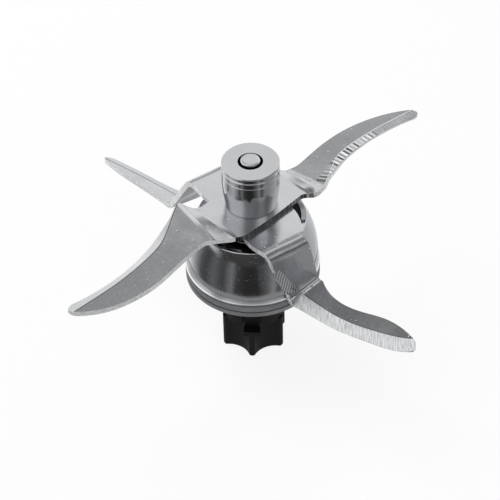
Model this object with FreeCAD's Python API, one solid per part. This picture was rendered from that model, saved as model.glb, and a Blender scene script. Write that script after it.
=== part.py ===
import FreeCAD, Part
import math
import os
from FreeCAD import Vector

# Cutter set of a heated food processor, in millimetres.
# The shaft axis is Z, the star's flat end stands on z = 0, and the view of the photo looks along +Y.

# Drive coupling: a round collar over a six-pointed star
star_tip_r = 9.9
star_flute_r = 7.3
star_tip_angle = 5.0
star_turn = -4.8
star_height = 12.0
star_edge_round = 0.7
collar_inset = 1.6
collar_top_z = 19.8
coupling_neck_inset = 0.5
slot_width = 5.6
slot_floor_width = 4.8
slot_floor_z = 10.1
slot_depth_r = 7.5
ledge_r = 9.75
ledge_height = 1.6
counterbore_r = 5.0
counterbore_depth = 5.0

# Coupling screw and washer
screw_r = 2.0
screw_length = 10.0
screw_head_r = 3.6
screw_head_height = 2.4
screw_socket_width = 2.5
screw_socket_depth = 1.4
washer_r = 4.7
washer_thickness = 0.8

# Shaft
shaft_r = 4.0
shaft_top_r = 2.8
shaft_top_round = 0.7
shaft_proud = 0.8
shaft_step_depth = 5.0
flat_half_width = 3.3
loose_fit = 0.04
coupling_flat_length = 9.0

# Bearings of 8 x 22 x 7
bearing_r = 11.0
bearing_width = 7.0
ball_count = 7
ball_share = 0.2834
raceway_clearance = 0.06
raceway_land = 0.70
shield_thickness = 0.4
shield_inset = 0.3
shield_seat = 1.11
shield_gap = 0.3
cage_wall = 0.38
cage_pocket_gap = 0.12
cage_below_share = 0.15
cage_play = 0.3
spacer_length = 1.6
spacer_wall = 1.4
lower_bearing_z = 22.8

# Circlip under the lower bearing
circlip_thickness = 1.0
circlip_width = 1.7
circlip_groove_depth = 0.5
circlip_play = 0.05
circlip_gap_angle = 36.0
circlip_lug_r = 1.5
circlip_eye_r = 0.65

# Bearing housing: bell, flange and boss
boss_wall = 2.0
boss_below_circlip = 1.0
web_thickness = 1.2
web_lip = 1.4
rim_above_seal = 0.7
rim_wall = 1.6
rim_round = 0.4
bell_bulge = 1.2
bell_foot_step = 0.8
bell_foot_rise = 0.6
flange_r = 19.25
flange_bottom_z = 26.3
flange_height = 4.7
lip_thickness = 0.65
groove_depth = 2.05
lower_lip_thickness = 1.4
housing_chamfer = 0.3

# Flange seal ring
ring_gap = 0.3
ring_play = 0.1
ring_round = 0.5

# Shaft seal in the bell's mouth
seal_r = 14.0
seal_height = 6.8
seal_wall = 1.4
seal_floor = 1.4
seal_lip_gap = 0.05
seal_lip_height = 5.0
spring_wire_r = 0.45
spring_lip = 1.75

# Collar under the blades
blade_collar_r = 6.0
blade_collar_step = 2.4
blade_collar_flange = 1.5

# Blades: one sheet thickness for both pairs
sheet = 1.6
blade_top_z = 52.75
bend_inside_r = 1.3
apex_inside_r = 2.0
gentle_bend_r = 60.0
bevel_land = 0.35
hub_half_width = 8.9
upper_reach = 62.4
upper_fold_u = 13.1
upper_root_u = 17.2
upper_gentle_u = 30.0
lower_reach = 59.5
lower_drop = 21.25
steep_apex_out = 1.25
steep_foot_out = 1.65
far_apex_out = 0.45
far_foot_out = 11.95

# Knob
cap_height = 14.75
cap_top_r = 8.05
cap_disc = 1.2
cap_edge = 0.25
cap_groove = 0.3
cap_band = 1.5
cap_line = 0.14
cap_body_r = 8.12
cap_body_share = 0.56
cap_waist_r = 7.6
cap_waist_share = 0.17
cap_foot_r = 7.35
cap_foot_edge = 0.25
cap_hole_r = 3.5
cap_hole_depth = 2.2

# Sizes that follow from the values above
cap_top_z = blade_top_z + cap_height
pitch_r = (shaft_r + bearing_r) / 2
ball_r = ball_share * (bearing_r - shaft_r)
outer_land_r = pitch_r + raceway_land * ball_r
inner_land_r = pitch_r - raceway_land * ball_r
shield_seat_r = pitch_r + shield_seat * ball_r
cage_inner_r = pitch_r - cage_wall * ball_r
cage_outer_r = pitch_r + cage_wall * ball_r
boss_r = bearing_r + boss_wall
web_hole_r = bearing_r - web_lip
rim_r = seal_r + rim_wall
flange_top_z = flange_bottom_z + flange_height
groove_r = flange_r - groove_depth
groove_bottom_z = flange_bottom_z + lower_lip_thickness
bell_foot_r = flange_r - bell_foot_step
bell_foot_z = flange_top_z + bell_foot_rise
spring_ring_r = blade_collar_r + spring_lip
blade_collar_flange_r = blade_collar_r + blade_collar_step
collar_r = bearing_r - collar_inset
coupling_neck_r = inner_land_r - coupling_neck_inset
steep_apex_u = flange_r + steep_apex_out
steep_foot_u = flange_r + steep_foot_out
far_apex_u = flange_r + far_apex_out
far_foot_u = flange_r + far_foot_out
lower_blade_top_z = blade_top_z - sheet
plates_bottom_z = blade_top_z - 2 * sheet
circlip_z = lower_bearing_z - circlip_thickness
housing_bottom_z = circlip_z - boss_below_circlip
spacer_z = lower_bearing_z + bearing_width
upper_bearing_z = spacer_z + spacer_length
web_z = upper_bearing_z + bearing_width
seal_z = web_z + web_thickness
rim_z = seal_z + seal_height + rim_above_seal
bell_mid_z = (bell_foot_z + rim_z) / 2
bell_mid_r = (rim_r + bell_foot_r) / 2 + bell_bulge
shaft_bottom_z = counterbore_depth
shaft_top_z = cap_top_z + shaft_proud

Z_AXIS = Vector(0, 0, 1)
ORIGIN = Vector(0, 0, 0)


# Basic solids

def rz(radius, height):
    return Vector(radius, 0, height)


def revolved(points):
    """Turned solid from a closed outline of (radius, z) points."""
    wire = Part.makePolygon([rz(r, z) for r, z in points + points[:1]])
    return Part.Face(wire).revolve(ORIGIN, Z_AXIS, 360)


def revolved_edges(edges):
    """Turned solid from the edges of a closed outline in the XZ plane."""
    wire = Part.Wire(Part.__sortEdges__(edges))
    return Part.Face(wire).revolve(ORIGIN, Z_AXIS, 360)


def line(a, b):
    return Part.LineSegment(a, b).toShape()


def arc(a, b, c):
    return Part.Arc(a, b, c).toShape()


def smooth(points):
    curve = Part.BSplineCurve()
    curve.interpolate(points)
    return curve.toShape()


def cylinder(radius, z_low, z_high):
    return Part.makeCylinder(radius, z_high - z_low, Vector(0, 0, z_low))


def tube(inner_r, outer_r, z_low, z_high):
    return cylinder(outer_r, z_low, z_high).cut(cylinder(inner_r, z_low, z_high))


def box(low, high):
    size = high - low
    return Part.makeBox(size.x, size.y, size.z, low)


def prism(outline_edges, height):
    """Vertical prism through all heights of the blades from a closed plan outline."""
    face = Part.Face(Part.Wire(Part.__sortEdges__(outline_edges)))
    return face.extrude(Vector(0, 0, height))


def polar(radius, degrees, z=0.0):
    angle = math.radians(degrees)
    return Vector(radius * math.cos(angle), radius * math.sin(angle), z)


def turned(shape, degrees):
    copy = shape.copy()
    copy.rotate(ORIGIN, Z_AXIS, degrees)
    return copy


def flats(z_low, z_high):
    """The two slices that leave a double-D section on the shaft."""
    far = shaft_r + 1
    side = box(Vector(-far, flat_half_width, z_low), Vector(far, far, z_high))
    return side.fuse(turned(side, 180))


def double_d(z_low, z_high):
    """Hole for the flatted shaft, with a loose fit all round."""
    far = shaft_r + 1
    half = flat_half_width + loose_fit
    slab = box(Vector(-far, -half, z_low), Vector(far, half, z_high))
    return cylinder(shaft_r + loose_fit, z_low, z_high).common(slab)


# Turned pieces on the axis

def make_shaft():
    body = cylinder(shaft_r, shaft_bottom_z, cap_top_z - shaft_step_depth)
    tip = cylinder(shaft_top_r, cap_top_z - shaft_step_depth, shaft_top_z)
    rims = [e for e in tip.Edges if e.BoundBox.ZMin > shaft_top_z - 0.01]
    tip = tip.makeFillet(shaft_top_round, rims)
    shaft = body.fuse(tip)
    shaft = shaft.cut(flats(plates_bottom_z, blade_top_z))
    shaft = shaft.cut(flats(shaft_bottom_z, shaft_bottom_z + coupling_flat_length))
    return shaft.cut(cylinder(screw_r, shaft_bottom_z, shaft_bottom_z + screw_length)).removeSplitter()


def make_top_cap():
    disc_z = cap_top_z - cap_disc
    band_top_z = disc_z - 2 * cap_groove
    band_low_z = band_top_z - cap_band
    body_top_z = band_low_z - 2 * cap_line
    body_z = blade_top_z + cap_body_share * cap_height
    waist_z = blade_top_z + cap_waist_share * cap_height
    middle = rz((cap_waist_r + cap_body_r) / 2 + 0.08, (waist_z + body_z) / 2)
    foot = rz(cap_foot_r, blade_top_z + cap_foot_edge)
    body = rz(cap_body_r, body_z)
    corners = [
        body, rz(cap_top_r, body_top_z), rz(cap_top_r - cap_line, body_top_z + cap_line),
        rz(cap_top_r, band_low_z), rz(cap_top_r, band_top_z),
        rz(cap_top_r - cap_groove, band_top_z + cap_groove), rz(cap_top_r, disc_z),
        rz(cap_top_r, cap_top_z - cap_edge), rz(cap_top_r - cap_edge, cap_top_z), rz(0, cap_top_z),
        rz(0, blade_top_z), rz(cap_foot_r - cap_foot_edge, blade_top_z), foot,
    ]
    edges = [line(p, q) for p, q in zip(corners, corners[1:])]
    edges.append(smooth([foot, rz(cap_waist_r, waist_z), middle, body]))
    cap = revolved_edges(edges)
    cap = cap.cut(cylinder(shaft_r, blade_top_z, cap_top_z - shaft_step_depth))
    cap = cap.cut(cylinder(shaft_top_r, cap_top_z - shaft_step_depth, cap_top_z))
    return cap.cut(cylinder(cap_hole_r, cap_top_z - cap_hole_depth, cap_top_z))


def make_blade_collar():
    flange_z = plates_bottom_z - blade_collar_flange
    return revolved([
        (shaft_r, web_z), (blade_collar_r, web_z), (blade_collar_r, flange_z),
        (blade_collar_flange_r, flange_z), (blade_collar_flange_r, plates_bottom_z),
        (shaft_r, plates_bottom_z),
    ])


# Bearings

def raceway(groove_r):
    return Part.makeTorus(pitch_r, groove_r)


def outer_ring():
    half = bearing_width / 2
    seat = half - shield_inset - shield_thickness
    ring = revolved([
        (outer_land_r, -seat), (shield_seat_r, -seat), (shield_seat_r, -half), (bearing_r, -half),
        (bearing_r, half), (shield_seat_r, half), (shield_seat_r, seat), (outer_land_r, seat),
    ])
    return ring.cut(raceway(ball_r + raceway_clearance))


def inner_ring():
    half = bearing_width / 2
    return tube(shaft_r, inner_land_r, -half, half).cut(raceway(ball_r + raceway_clearance))


def balls():
    one = Part.makeSphere(ball_r, Vector(pitch_r, 0, 0))
    return Part.Compound([turned(one, 360.0 * k / ball_count) for k in range(ball_count)])


def cage():
    pocket = Part.makeSphere(ball_r + cage_pocket_gap, Vector(pitch_r, 0, 0))
    pockets = [turned(pocket, 360.0 * k / ball_count) for k in range(ball_count)]
    top = bearing_width / 2 - shield_inset - shield_thickness - cage_play
    return tube(cage_inner_r, cage_outer_r, -cage_below_share * bearing_width, top).cut(pockets)


def shield(side):
    near = bearing_width / 2 - shield_inset
    plate = tube(inner_land_r + shield_gap, shield_seat_r, near - shield_thickness, near)
    if side < 0:
        plate.translate(Vector(0, 0, shield_thickness - 2 * near))
    return plate


def bearing_nodes(name, z_low):
    """The loose pieces of one ball bearing whose lower face is at z_low."""
    pieces = {
        name + "_outer_ring": outer_ring(),
        name + "_inner_ring": inner_ring(),
        name + "_balls": balls(),
        name + "_cage": cage(),
        name + "_top_shield": shield(1),
        name + "_bottom_shield": shield(-1),
    }
    for shape in pieces.values():
        shape.translate(Vector(0, 0, z_low + bearing_width / 2))
    return pieces


def make_circlip():
    """Internal retaining ring: open ring with an eye at each end."""
    outer = bearing_r + circlip_groove_depth - circlip_play
    inner = outer - circlip_width
    top = circlip_z + circlip_thickness
    ring = tube(inner, outer, circlip_z, top)
    half_gap = circlip_gap_angle / 2
    mouth = Part.makePolygon([
        Vector(0, 0, circlip_z), polar(2 * outer, -half_gap, circlip_z),
        polar(2 * outer, half_gap, circlip_z), Vector(0, 0, circlip_z),
    ])
    ring = ring.cut(Part.Face(mouth).extrude(Vector(0, 0, circlip_thickness)))
    for side in (-1, 1):
        centre = polar(inner + 0.2, side * (half_gap + 5), circlip_z)
        ring = ring.fuse(Part.makeCylinder(circlip_lug_r, circlip_thickness, centre))
    for side in (-1, 1):
        centre = polar(inner + 0.2, side * (half_gap + 5), circlip_z)
        ring = ring.cut(Part.makeCylinder(circlip_eye_r, circlip_thickness, centre))
    return ring.removeSplitter()


# Housing and its seals

def make_housing():
    lip_z = flange_top_z - lip_thickness
    rim_out = rz(rim_r, rim_z - rim_round)
    rim_mid = rz(rim_r - 0.3 * rim_round, rim_z - 0.3 * rim_round)
    rim_in = rz(rim_r - rim_round, rim_z)
    foot = rz(bell_foot_r, bell_foot_z)
    lip_top = rz(flange_r - housing_chamfer, flange_top_z)
    points = [
        (flange_r, flange_top_z - housing_chamfer), (flange_r, lip_z), (groove_r, lip_z),
        (groove_r, groove_bottom_z), (flange_r, groove_bottom_z), (flange_r, flange_bottom_z),
        (boss_r, flange_bottom_z), (boss_r, housing_bottom_z + housing_chamfer),
        (boss_r - housing_chamfer, housing_bottom_z), (bearing_r, housing_bottom_z),
        (bearing_r, web_z), (web_hole_r, web_z), (web_hole_r, seal_z), (seal_r, seal_z),
        (seal_r, rim_z),
    ]
    chain = [rz(r, z) for r, z in points]
    edges = [line(a, b) for a, b in zip(chain, chain[1:])]
    edges += [
        line(chain[-1], rim_in),
        arc(rim_in, rim_mid, rim_out),
        arc(rim_out, rz(bell_mid_r, bell_mid_z), foot),
        line(foot, rz(bell_foot_r, flange_top_z)),
        line(rz(bell_foot_r, flange_top_z), lip_top),
        line(lip_top, chain[0]),
    ]
    groove = tube(bearing_r - 0.5, bearing_r + circlip_groove_depth,
                  circlip_z - circlip_play, lower_bearing_z)
    return revolved_edges(edges).cut(groove)


def make_flange_seal():
    low = groove_bottom_z + ring_play
    high = flange_top_z - lip_thickness - ring_gap
    ring = tube(groove_r + loose_fit, flange_r, low, high)
    rims = [e for e in ring.Edges if e.BoundBox.XMax > flange_r - 0.01 and e.BoundBox.ZLength < 0.01]
    return ring.makeFillet(ring_round, rims)


def make_shaft_seal():
    """Rubber ring with a floor and a sprung lip that runs on the blade collar."""
    lip_r = blade_collar_r + seal_lip_gap
    lip_top = seal_z + seal_lip_height
    back_r = spring_ring_r
    profile = [
        (seal_r, seal_z), (seal_r, seal_z + seal_height), (seal_r - seal_wall, seal_z + seal_height),
        (seal_r - seal_wall, seal_z + seal_floor), (lip_r + 2.0, seal_z + seal_floor),
        (back_r - 0.1, lip_top - 1.4), (back_r + 0.3, lip_top), (lip_r + 0.6, lip_top),
        (lip_r, lip_top - 0.8), (lip_r + 0.9, lip_top - 2.4), (lip_r + 0.9, seal_z),
    ]
    seat = Part.makeTorus(spring_ring_r + 0.25, spring_wire_r, Vector(0, 0, lip_top - 0.7))
    return revolved(profile).cut(seat)


def make_seal_spring():
    lip_top = seal_z + seal_lip_height
    return Part.makeTorus(spring_ring_r + 0.25, spring_wire_r, Vector(0, 0, lip_top - 0.7))


# Drive coupling

def star_outline():
    """Six rounded tips joined by concave flutes, on z = 0."""
    edges = []
    for k in range(6):
        angle = star_turn + 30 + 60 * k
        shoulder = star_tip_r - 0.25
        before = polar(shoulder, angle - star_tip_angle)
        after = polar(shoulder, angle + star_tip_angle)
        edges.append(arc(before, polar(star_tip_r, angle), after))
        following = polar(shoulder, angle + 60 - star_tip_angle)
        edges.append(arc(after, polar(star_flute_r, angle + 30), following))
    return edges


def coupling_slot():
    """Slot that opens outwards above one star tip and runs up through the collar."""
    reach = star_tip_r + 1
    half_floor = slot_floor_width / 2
    half_top = slot_width / 2
    outline = Part.makePolygon([
        Vector(slot_depth_r, -half_floor, slot_floor_z), Vector(slot_depth_r, half_floor, slot_floor_z),
        Vector(slot_depth_r, half_top, star_height), Vector(slot_depth_r, half_top, collar_top_z),
        Vector(slot_depth_r, -half_top, collar_top_z), Vector(slot_depth_r, -half_top, star_height),
        Vector(slot_depth_r, -half_floor, slot_floor_z),
    ])
    return Part.Face(outline).extrude(Vector(reach - slot_depth_r, 0, 0))


def coupling_ledge():
    """Shelf that closes the slot's floor, with its underside sloped into the star tip."""
    half = slot_floor_width / 2
    inner = star_flute_r - 1
    low = slot_floor_z - ledge_height
    corners = [(inner, low - ledge_height), (ledge_r, low), (ledge_r, slot_floor_z), (inner, slot_floor_z)]
    points = [Vector(r, -half, z) for r, z in corners]
    return Part.Face(Part.makePolygon(points + points[:1])).extrude(Vector(0, 2 * half, 0))


def make_coupling():
    star = prism(star_outline(), star_height)
    rims = [e for e in star.Edges if e.BoundBox.ZMax < 0.01]
    star = star.makeFillet(star_edge_round, rims)
    body = star.fuse(cylinder(collar_r, star_height, collar_top_z))
    body = body.fuse(cylinder(coupling_neck_r, collar_top_z, lower_bearing_z))
    for turn in (star_turn - 90, star_turn + 90):
        body = body.fuse(turned(coupling_ledge(), turn))
        body = body.cut(turned(coupling_slot(), turn))
    body = body.cut(cylinder(counterbore_r, 0, counterbore_depth))
    flat_top = shaft_bottom_z + coupling_flat_length
    body = body.cut(double_d(shaft_bottom_z, flat_top))
    return body.cut(cylinder(shaft_r + loose_fit, flat_top, lower_bearing_z)).removeSplitter()


def make_washer():
    return tube(screw_r, washer_r, counterbore_depth - washer_thickness, counterbore_depth)


def make_screw():
    head_top = counterbore_depth - washer_thickness
    head_low = head_top - screw_head_height
    head = cylinder(screw_head_r, head_low, head_top)
    rims = [e for e in head.Edges if e.BoundBox.ZMax < head_low + 0.01]
    head = head.makeFillet(0.5, rims)
    corners = [polar(screw_socket_width / math.sqrt(3), 60 * k, head_low) for k in range(6)]
    socket = Part.Face(Part.makePolygon(corners + corners[:1])).extrude(Vector(0, 0, screw_socket_depth))
    shank = cylinder(screw_r, head_top, shaft_bottom_z + screw_length)
    return head.cut(socket).fuse(shank).removeSplitter()


# Blades: folded sheet, trimmed to its outline, then ground along the cutting edge.
# In an arm's own frame u runs out along the arm, v is across it, and the cutting edge is at low v.

sheet_half = 14.0
sheet_reach = upper_reach + 6
drawn_upper_reach = 62.4
drawn_lower_reach = 59.5


class Plane:
    """Top surface of a flat panel: z = height + along * u + across * v."""

    def __init__(self, height, along=0.0, across=0.0):
        self.height = height
        self.along = along
        self.across = across

    def at(self, u, v):
        return Vector(u, v, self.height + self.along * u + self.across * v)

    def normal(self):
        return Vector(-self.along, -self.across, 1).normalize()

    def fold(self, offset, skew):
        """The line u = offset + skew * v on this plane, from the low-v side to the high-v side."""
        return [self.at(offset + skew * v, v) for v in (-sheet_half, sheet_half)]


def flat_vector(angle):
    return Vector(math.cos(angle), 0, math.sin(angle))


def sheet_section(points, bends):
    """Edges round the sheet's section at one v, with a rounded bend at every inner point."""
    count = len(points)
    slopes = [math.atan2(q.z - p.z, q.x - p.x) for p, q in zip(points, points[1:])]
    ups = [flat_vector(slope + math.pi / 2) for slope in slopes]
    top = []
    under = []
    top_start = points[0]
    under_start = points[0] - ups[0] * sheet
    for i in range(1, count - 1):
        turn = slopes[i] - slopes[i - 1]
        sign = 1 if turn > 0 else -1
        bend = bends[i - 1]
        top_r = bend if turn > 0 else bend + sheet
        under_r = bend + sheet if turn > 0 else bend
        back = flat_vector(slopes[i - 1]) * (top_r * math.tan(abs(turn) / 2))
        centre = points[i] - back + ups[i - 1] * (sign * top_r)
        middle_up = flat_vector((slopes[i - 1] + slopes[i]) / 2 + math.pi / 2)
        for chain, start, radius in ((top, top_start, top_r), (under, under_start, under_r)):
            curve = [centre - up * (sign * radius) for up in (ups[i - 1], middle_up, ups[i])]
            chain.append(line(start, curve[0]))
            chain.append(arc(*curve))
        top_start = centre - ups[i] * (sign * top_r)
        under_start = centre - ups[i] * (sign * under_r)
    top.append(line(top_start, points[-1]))
    under.append(line(under_start, points[-1] - ups[-1] * sheet))
    first = line(points[0], points[0] - ups[0] * sheet)
    last = line(points[-1], points[-1] - ups[-1] * sheet)
    return [first] + top + [last] + under


def ruled(edge_a, edge_b):
    """Face between two like edges: flat where they are lines in one plane, else ruled."""
    a, b = [v.Point for v in edge_a.Vertexes]
    d, c = [v.Point for v in edge_b.Vertexes]
    straight = edge_a.Length < a.distanceToPoint(b) + 1e-6
    if straight and abs((b - a).cross(d - a).dot(c - a)) < 1e-6:
        return Part.Face(Part.makePolygon([a, b, c, d, a]))
    return Part.makeRuledSurface(edge_a, edge_b)


def folded_sheet(folds, bends):
    """Wide strip of folded sheet; folds holds the top surface's end and fold lines."""
    sections = []
    for side in (0, 1):
        section = sheet_section([fold[side] for fold in folds], bends)
        sections.append(section)
    faces = [ruled(a, b) for a, b in zip(*sections)]
    faces += [Part.Face(Part.Wire(Part.__sortEdges__(section))) for section in sections]
    shell = Part.makeShell(faces)
    shell.sewShape()
    solid = Part.makeSolid(shell)
    if solid.Volume < 0:
        solid.reverse()
    return solid


def plan_prism(runs):
    """Vertical prism from plan runs of (u, v) points: a run of two is straight, a longer one is smooth."""
    edges = []
    for run in runs:
        points = [Vector(u, v, 0) for u, v in run]
        edges.append(line(*points) if len(points) == 2 else smooth(points))
    return prism(edges, cap_top_z)


def grinding_wedge(inner, edge, up):
    """Wedge that grinds a face from the inner points down to a thin land at the edge points."""
    wires = []
    for start, end in zip(inner, edge):
        fall = end - up * (sheet - bevel_land) - start
        far = start + fall * 1.6
        corners = [start, far, far + up * 2 * sheet, start + up * 2 * sheet]
        wires.append(Part.makePolygon(corners + corners[:1]))
    return Part.makeLoft(wires, True, False)


def bevel_cutter(plane, inner, edge):
    return grinding_wedge([plane.at(*p) for p in inner], [plane.at(*p) for p in edge], plane.normal())


def to_reach(run, root, drawn_tip, reach):
    """Stretch a run of plan points beyond the root so that the drawn tip comes out at the reach."""
    scale = (reach - root) / (drawn_tip - root)
    return [(root + (u - root) * scale if u > root else u, v) for u, v in run]


# Upper arms
upper_hub = Plane(blade_top_z)
upper_root = Plane(blade_top_z - 0.55, 0, -0.24)
upper_blade = Plane(blade_top_z + 2.55, -0.088, -0.21)
upper_cut = [(10.8, -8.5), (13.0, -9.6), (14.3, -11.4), (16.2, -12.4), (20.0, -11.0), (24.5, -9.4),
             (29.5, -7.9), (35.0, -6.8), (42.0, -6.2), (50.0, -6.5), (56.0, -7.4), (60.0, -8.4)]
upper_tip = [(60.0, -8.4), (62.4, -7.4), (61.4, -5.0)]
upper_back = [(61.4, -5.0), (58.6, -2.8), (53.5, 0.0), (46.5, 2.1), (39.0, 2.9), (31.0, 2.4),
              (24.0, 1.7), (18.6, 1.9), (16.0, 4.0), (13.6, 6.9), (10.8, 8.5)]
upper_bevel_inner = [(15.6, -8.8), (20.5, -7.6), (27.0, -5.7), (32.0, -4.8), (37.0, -4.3), (43.0, -4.1),
                     (49.0, -4.3), (54.5, -4.8), (62.0, -5.6), (67.0, -6.2)]
upper_bevel_edge = [(15.0, -12.4), (20.5, -11.0), (27.0, -8.7), (32.0, -7.4), (37.0, -6.6), (43.0, -6.2),
                    (49.0, -6.5), (54.5, -7.2), (62.5, -9.0), (67.0, -10.2)]


def make_upper_arm():
    folds = [upper_hub.fold(0, 0), upper_hub.fold(upper_fold_u, 0), upper_root.fold(upper_root_u, 0.12),
             upper_blade.fold(upper_gentle_u, 0), upper_blade.fold(sheet_reach, 0)]
    bends = [bend_inside_r, bend_inside_r, gentle_bend_r]
    cut, tip, back, inner, edge = [
        to_reach(run, upper_gentle_u, drawn_upper_reach, upper_reach)
        for run in (upper_cut, upper_tip, upper_back, upper_bevel_inner, upper_bevel_edge)
    ]
    trim = plan_prism([
        [(0, hub_half_width), (0, -hub_half_width)], [(0, -hub_half_width), cut[0]],
        cut, tip, back, [back[-1], (0, hub_half_width)],
    ])
    return folded_sheet(folds, bends).common(trim).cut(bevel_cutter(upper_blade, inner, edge))


# Lower arms
lower_hub = Plane(lower_blade_top_z)
lower_blade = Plane(blade_top_z - lower_drop, 0.059, 0.29)
lower_shoulder = (7.2, -10.6)
riser_skew = 0.2
steep_riser_cut = [(-11.4, 50.0), (-9.2, 41.5), (-5.5, 33.0)]
steep_riser_back = [(0.9, 51.0), (4.2, 34.0)]
riser_bevel_inner = [(-8.6, 44.5), (-7.1, 42.0), (-5.6, 39.0), (-4.0, 35.5), (-2.9, 33.0)]
riser_bevel_edge = [(-10.1, 43.9), (-9.3, 41.6), (-8.2, 38.7), (-6.6, 35.2), (-5.4, 32.8)]
lower_cut = [(21.5, -5.2), (29.4, -5.2), (36.8, -4.9), (43.5, -3.9), (49.8, -2.7), (55.7, -1.1), (58.0, 0.1)]
lower_tip = [(58.0, 0.1), (59.5, 1.6), (58.6, 2.9)]
lower_back = [(58.6, 2.9), (56.0, 3.6), (52.0, 4.2), (46.0, 3.9), (40.0, 2.4), (34.5, 1.5), (28.5, 2.0),
              (23.5, 3.9)]
lower_bevel_inner = [(20.5, -1.7), (26.0, -2.2), (33.0, -2.4), (39.6, -1.9), (46.0, -0.6), (52.0, 1.0),
                     (57.5, 3.4), (62.0, 5.6)]
lower_bevel_edge = [(20.5, -5.3), (26.0, -5.2), (33.0, -5.2), (39.6, -4.6), (46.0, -3.5), (52.0, -2.3),
                    (60.0, 0.8), (65.0, 3.0)]
far_cut = [(16.5, -11.2), (21.0, -10.2), (27.0, -8.7), (32.0, -7.3), (38.2, -5.2), (43.6, -4.0),
           (49.1, -2.9), (54.4, -1.7), (58.0, -0.8)]
far_tip = [(58.0, -0.8), (59.2, 1.0), (58.0, 3.2)]
far_back = [(58.0, 3.2), (54.0, 3.6), (46.0, 3.4), (39.0, 3.0), (32.0, 3.0), (24.0, 4.2), (18.0, 5.0)]
far_bevel_inner = [(33.5, -2.4), (39.3, -1.4), (43.3, -0.7), (48.6, 0.4), (53.7, 1.7), (60.0, 3.0),
                   (65.0, 4.2)]
far_bevel_edge = [(33.5, -7.0), (39.3, -5.0), (43.3, -4.1), (48.6, -3.1), (53.7, -1.9), (60.5, -0.1),
                  (65.0, 1.0)]


def to_lower_reach(run):
    return to_reach(run, far_foot_u, drawn_lower_reach, lower_reach)


def steep_arm_trim():
    near = steep_apex_u - 2.3
    far = steep_foot_u + 1.7
    skew = riser_skew
    cut_side = [Vector(near + skew * v, v, z) for v, z in steep_riser_cut]
    cut_top = steep_riser_cut[0][0]
    cut_low = steep_riser_cut[-1][0]
    (back_top, back_top_z), (back_low, back_low_z) = steep_riser_back
    corners = [(cut_low, 0), (back_low, 0), (back_low, back_low_z), (back_top, back_top_z),
               (back_top, cap_top_z), (cut_top, cap_top_z)]
    points = [Vector(near + skew * v, v, z) for v, z in corners]
    chain = cut_side[-1:] + points + cut_side[:1]
    edges = [line(a, b) for a, b in zip(chain, chain[1:])] + [arc(*cut_side)]
    riser = Part.Face(Part.Wire(Part.__sortEdges__(edges))).extrude(Vector(far - near, 0, 0))
    cut_start = (near + skew * cut_top, cut_top)
    back_start = (near + skew * back_top, back_top)
    hub = plan_prism([
        [(0, hub_half_width), (0, -hub_half_width)], [(0, -hub_half_width), lower_shoulder],
        [lower_shoulder, (12.0, -11.7), cut_start], [cut_start, back_start],
        [back_start, (13.7, 5.2), (8.4, 7.3)], [(8.4, 7.3), (0, hub_half_width)],
    ])
    cut_root = (far + skew * cut_low, cut_low)
    back_root = (far + skew * back_low, back_low)
    cut, tip, back = [to_lower_reach(run) for run in (lower_cut, lower_tip, lower_back)]
    blade = plan_prism([[back_root, cut_root], [cut_root] + cut[1:], tip, back[:-1] + [back_root]])
    return hub.fuse(riser).fuse(blade)


def riser_face(v, z):
    """Point of the steep riser's outer face."""
    apex = lower_hub.at(steep_apex_u + riser_skew * v, v)
    foot = lower_blade.at(steep_foot_u + riser_skew * v, v)
    return apex + (foot - apex) * ((apex.z - z) / (apex.z - foot.z))


def riser_bevel():
    inner = [riser_face(v, z) for v, z in riser_bevel_inner]
    edge = [riser_face(v, z) for v, z in riser_bevel_edge]
    outward = (edge[-1] - edge[0]).cross(inner[0] - edge[0]).normalize()
    if outward.x < 0:
        outward = -outward
    return grinding_wedge(inner, edge, outward)


def make_steep_arm():
    folds = [lower_hub.fold(0, 0), lower_hub.fold(steep_apex_u, riser_skew),
             lower_blade.fold(steep_foot_u, riser_skew), lower_blade.fold(sheet_reach, 0)]
    arm = folded_sheet(folds, [apex_inside_r, bend_inside_r]).common(steep_arm_trim())
    inner, edge = [to_lower_reach(run) for run in (lower_bevel_inner, lower_bevel_edge)]
    return arm.cut(bevel_cutter(lower_blade, inner, edge)).cut(riser_bevel())


def make_far_arm():
    folds = [lower_hub.fold(0, 0), lower_hub.fold(far_apex_u, 0.2), lower_blade.fold(far_foot_u, 0),
             lower_blade.fold(sheet_reach, 0)]
    cut, tip, back, inner, edge = [
        to_lower_reach(run) for run in (far_cut, far_tip, far_back, far_bevel_inner, far_bevel_edge)
    ]
    trim = plan_prism([
        [(0, hub_half_width), (0, -hub_half_width)], [(0, -hub_half_width), lower_shoulder],
        [lower_shoulder, (12.0, -11.6), cut[0]], cut, tip, back,
        [back[-1], (10.1, 6.7)], [(10.1, 6.7), (0, hub_half_width)],
    ])
    arm = folded_sheet(folds, [apex_inside_r, bend_inside_r]).common(trim)
    return arm.cut(bevel_cutter(lower_blade, inner, edge))


def blade_pair(first, first_angle, second, second_angle):
    pair = turned(first, first_angle).fuse(turned(second, second_angle))
    return pair.cut(double_d(plates_bottom_z, blade_top_z)).removeSplitter()


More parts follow.
